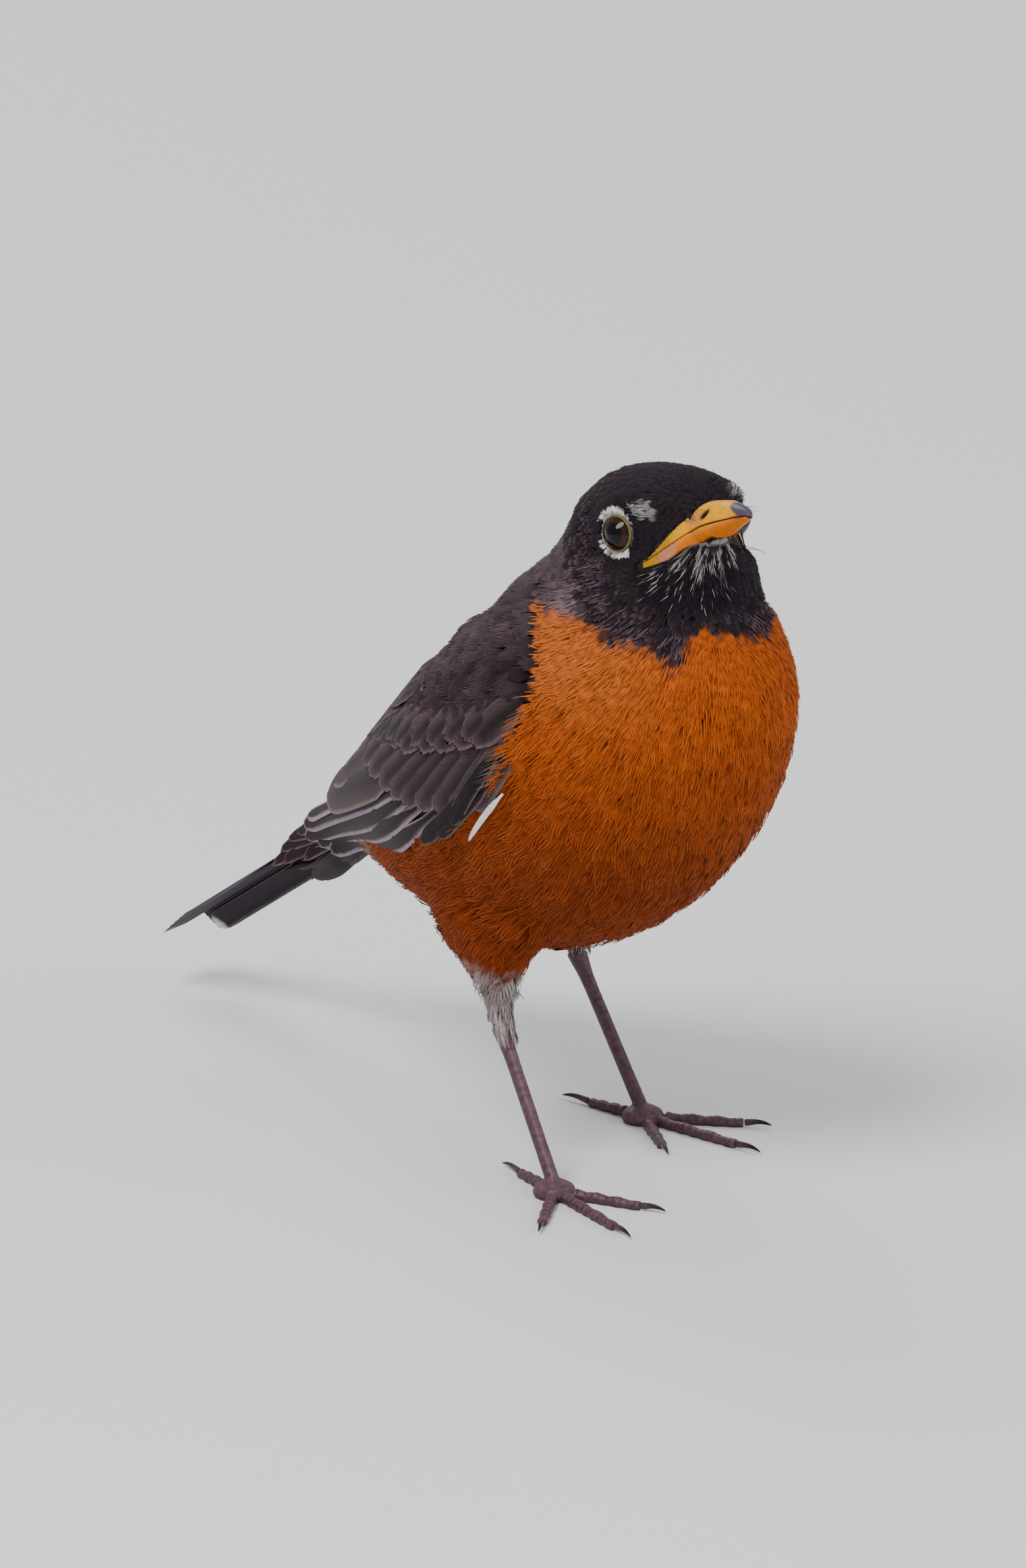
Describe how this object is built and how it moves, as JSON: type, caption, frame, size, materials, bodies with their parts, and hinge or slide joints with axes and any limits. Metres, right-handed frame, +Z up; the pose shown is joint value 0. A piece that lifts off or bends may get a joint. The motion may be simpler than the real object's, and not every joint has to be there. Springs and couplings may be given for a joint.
{
  "type": "american robin",
  "caption": "Life-size standing songbird with a dark hood, orange breast, folded grey-brown wings, long tail and yellow bill, mid-step with its head raised.",
  "frame": {"origin": "middle of the bounding box, on the floor that the toes stand on", "axes": "+Z up; the bird faces -Y and its left side is towards +X"},
  "size_m": [0.0704, 0.187, 0.1345],
  "materials": {
    "breast_feathers": "soft matt feathers",
    "neck_feathers": "soft matt feathers",
    "hood_feathers": "close feathers with a low sheen",
    "wing_coverts": "close matt feathers",
    "secondaries": "smooth flight feathers",
    "primaries": "smooth flight feathers",
    "tail_feathers": "smooth flight feathers",
    "thigh_feathers": "short soft feathers",
    "eye": "wet gloss",
    "bill_horn": "satin horn",
    "leg_scales": "satin scales",
    "claw_horn": "satin horn"
  },
  "bodies": {
    "root": {"bill_lower": "bill_horn", "bill_upper": "bill_horn", "claw_left_hind": "claw_horn", "claw_left_inner": "claw_horn", "claw_left_middle": "claw_horn", "claw_left_outer": "claw_horn", "claw_right_hind": "claw_horn", "claw_right_inner": "claw_horn", "claw_right_middle": "claw_horn", "claw_right_outer": "claw_horn", "eye_left": "eye", "eye_right": "eye", "head": "hood_feathers", "neck": "neck_feathers", "tail": "tail_feathers", "tarsus_left": "leg_scales", "tarsus_right": "leg_scales", "thigh_left": "thigh_feathers", "thigh_right": "thigh_feathers", "toe_left_hind": "leg_scales", "toe_left_inner": "leg_scales", "toe_left_middle": "leg_scales", "toe_left_outer": "leg_scales", "toe_right_hind": "leg_scales", "toe_right_inner": "leg_scales", "toe_right_middle": "leg_scales", "toe_right_outer": "leg_scales", "trunk": "breast_feathers", "wing_left_coverts": "wing_coverts", "wing_left_primaries": "primaries", "wing_left_secondaries": "secondaries", "wing_right_coverts": "wing_coverts", "wing_right_primaries": "primaries", "wing_right_secondaries": "secondaries"}
  },
  "joints": []
}
